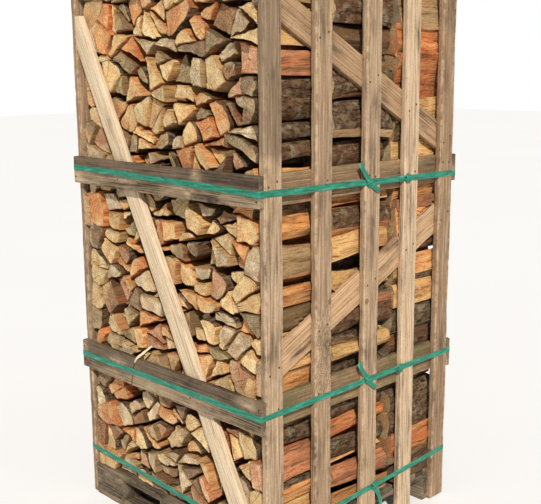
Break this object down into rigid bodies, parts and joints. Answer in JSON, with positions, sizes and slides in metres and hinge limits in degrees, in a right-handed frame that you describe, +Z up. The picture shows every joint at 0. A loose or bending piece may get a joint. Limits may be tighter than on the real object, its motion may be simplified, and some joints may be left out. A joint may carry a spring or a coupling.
{
  "type": "crated firewood bundle",
  "caption": "Tall slatted crate of split firewood on a pallet, tied round with plastic straps.",
  "frame": {"origin": "middle of the footprint, on the ground under the pallet", "axes": "+Z up; the stacked log ends face -Y; the slatted side of the picture faces +X; the logs lie along Y"},
  "size_m": [1.0123, 1.0036, 2.045],
  "materials": {
    "pallet_wood": "dark, dirty, rough-sawn softwood",
    "slat_wood": "weathered grey-beige sawn boards with knots",
    "rail_wood": "tan sawn boards, slightly weathered",
    "board_wood": "dirty grey-brown sawn boards",
    "fresh_wood": "fresh pale sawn board",
    "strap_plastic": "green packing strap with a soft sheen",
    "firewood": "sawn ends in cream, orange and grey, split faces and dark bark"
  },
  "bodies": {
    "root": {"pallet_bottom_board_1": "pallet_wood", "pallet_bottom_board_2": "pallet_wood", "pallet_bottom_board_3": "pallet_wood", "pallet_block_1": "pallet_wood", "pallet_block_2": "pallet_wood", "pallet_block_3": "pallet_wood", "pallet_block_4": "pallet_wood", "pallet_block_5": "pallet_wood", "pallet_block_6": "pallet_wood", "pallet_block_7": "pallet_wood", "pallet_block_8": "pallet_wood", "pallet_block_9": "pallet_wood", "pallet_stringer_1": "pallet_wood", "pallet_stringer_2": "pallet_wood", "pallet_stringer_3": "pallet_wood", "pallet_deck_board_1": "pallet_wood", "pallet_deck_board_2": "pallet_wood", "pallet_deck_board_3": "pallet_wood", "pallet_deck_board_4": "pallet_wood", "pallet_deck_board_5": "pallet_wood", "pallet_deck_board_6": "pallet_wood", "pallet_deck_board_7": "pallet_wood", "right_slat_1": "slat_wood", "right_slat_2": "slat_wood", "right_slat_3": "slat_wood", "right_slat_4": "slat_wood", "right_slat_5": "slat_wood", "right_rail_lower": "rail_wood", "right_rail_upper": "rail_wood", "right_rail_top": "rail_wood", "right_brace_lower": "rail_wood", "right_brace_upper": "rail_wood", "left_slat_1": "slat_wood", "left_slat_2": "slat_wood", "left_slat_3": "slat_wood", "left_slat_4": "slat_wood", "left_slat_5": "slat_wood", "left_rail_lower": "rail_wood", "left_rail_upper": "rail_wood", "left_rail_top": "rail_wood", "left_brace_lower": "rail_wood", "left_brace_upper": "rail_wood", "front_board_lower": "board_wood", "front_board_upper": "board_wood", "front_board_top": "board_wood", "front_brace": "fresh_wood", "back_board_lower": "board_wood", "back_board_upper": "board_wood", "back_board_top": "board_wood", "back_brace": "fresh_wood", "strap_low": "strap_plastic", "strap_middle": "strap_plastic", "strap_high": "strap_plastic", "front_logs": "firewood", "middle_logs": "firewood", "back_logs": "firewood"}
  },
  "joints": []
}
